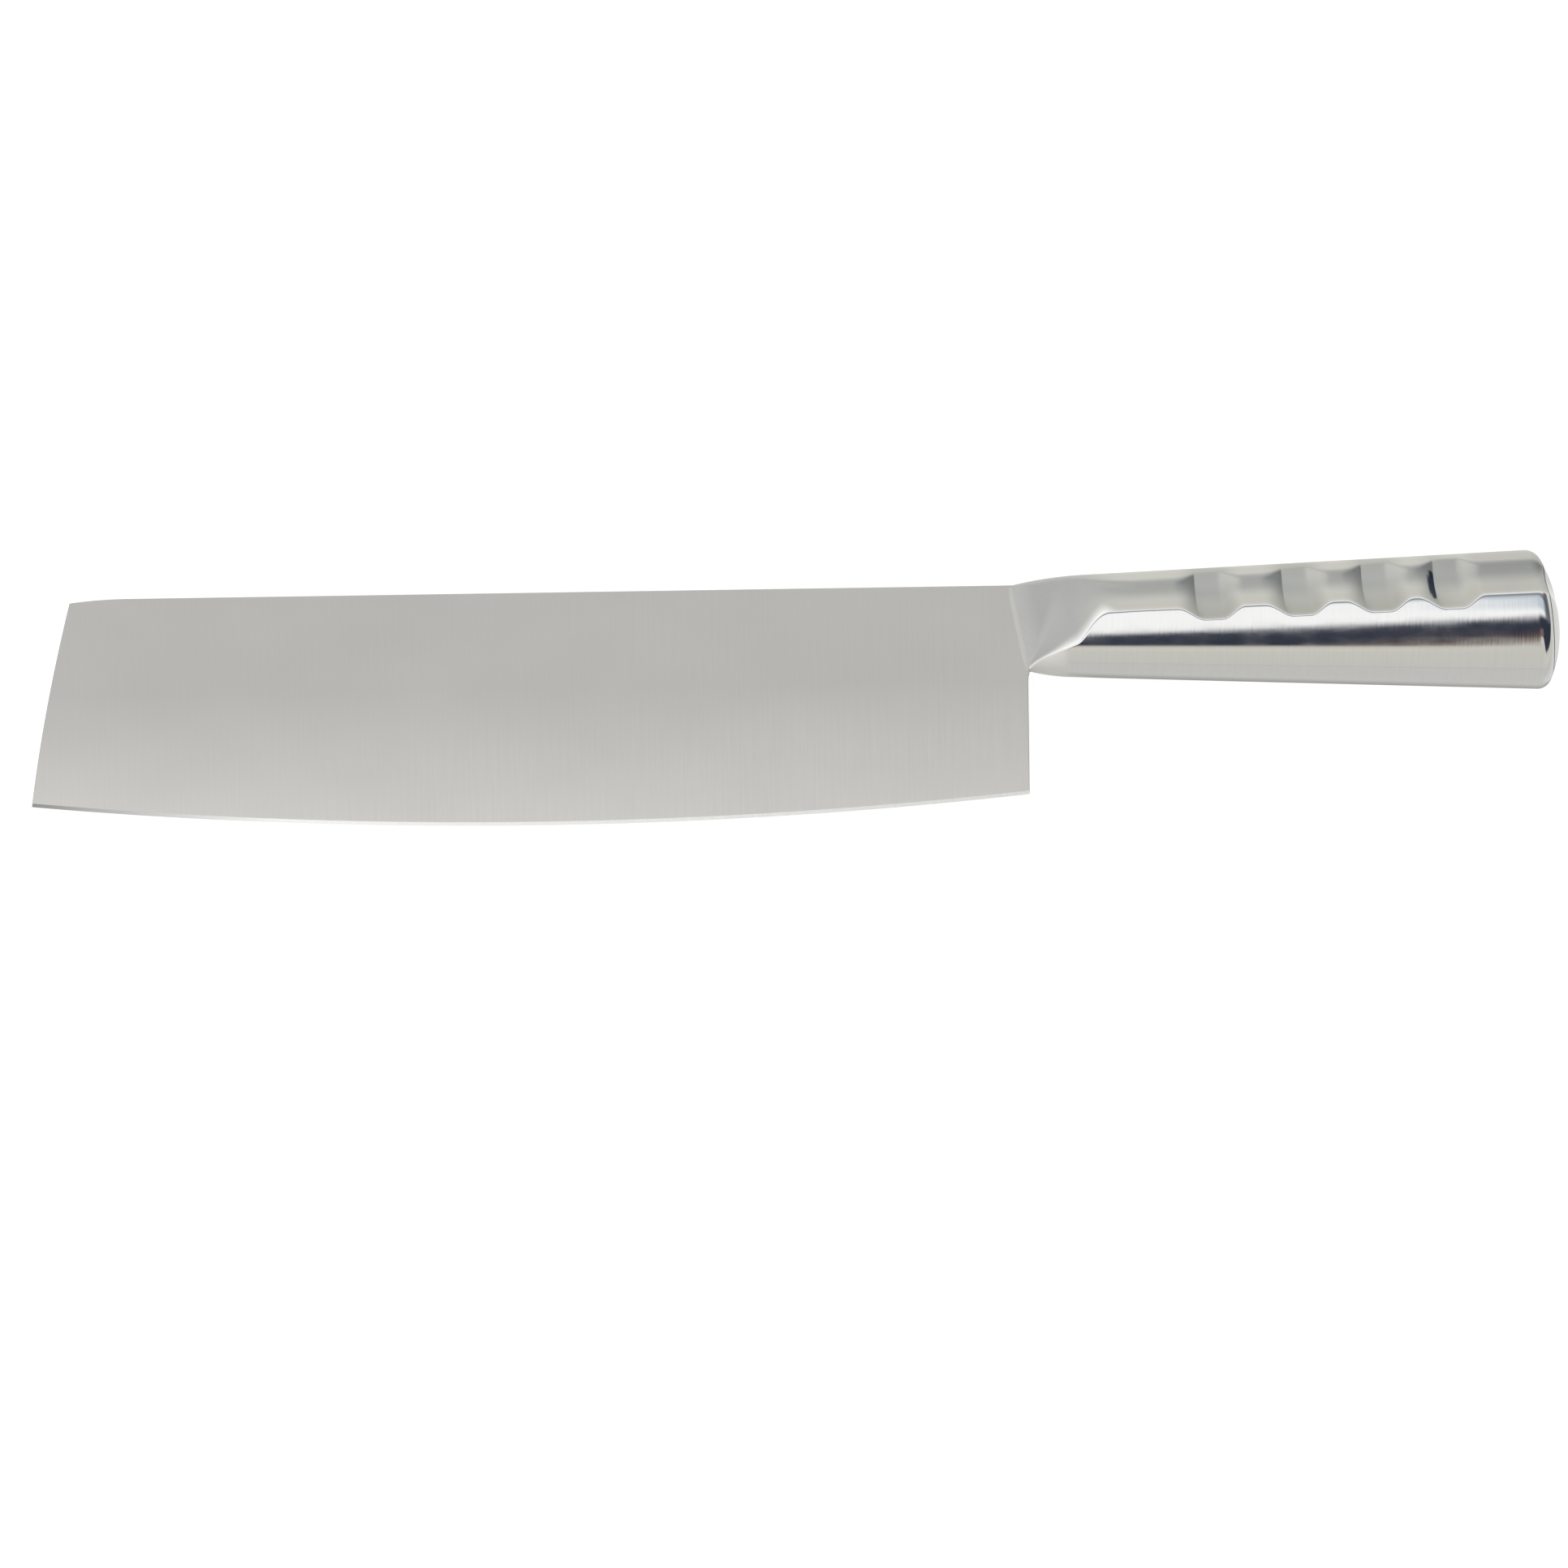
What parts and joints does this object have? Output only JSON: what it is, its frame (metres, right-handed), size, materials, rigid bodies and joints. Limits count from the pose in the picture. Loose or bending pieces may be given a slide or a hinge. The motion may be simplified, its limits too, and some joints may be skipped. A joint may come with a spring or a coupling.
{
  "type": "chinese cleaver",
  "caption": "Slim all-steel cleaver: a long rectangular blade with a gently curved edge, welded to a hollow pressed handle with finger dimples.",
  "frame": {"origin": "middle of the whole knife's box, on the blade's middle plane", "axes": "+X along the knife from the blade's front end to the butt of the handle, +Y from the edge to the spine, +Z square to the blade, out of the left cheek"},
  "size_m": [0.3323, 0.0566, 0.0288],
  "materials": {
    "blade_steel": "satin, brushed from spine to edge, with a polished bevel along the edge",
    "handle_steel": "matte satin on the dished flanks and the bolster, mirror polish on the round bulge",
    "cap_steel": "mirror polish",
    "weld_steel": "ground flush and satin"
  },
  "bodies": {
    "root": {"blade": "blade_steel", "left_handle_shell": "handle_steel", "right_handle_shell": "handle_steel", "butt_cap": "cap_steel", "bolster_weld": "weld_steel", "spine_seam_weld": "weld_steel", "belly_seam_weld": "weld_steel", "cap_weld": "weld_steel"}
  },
  "joints": []
}
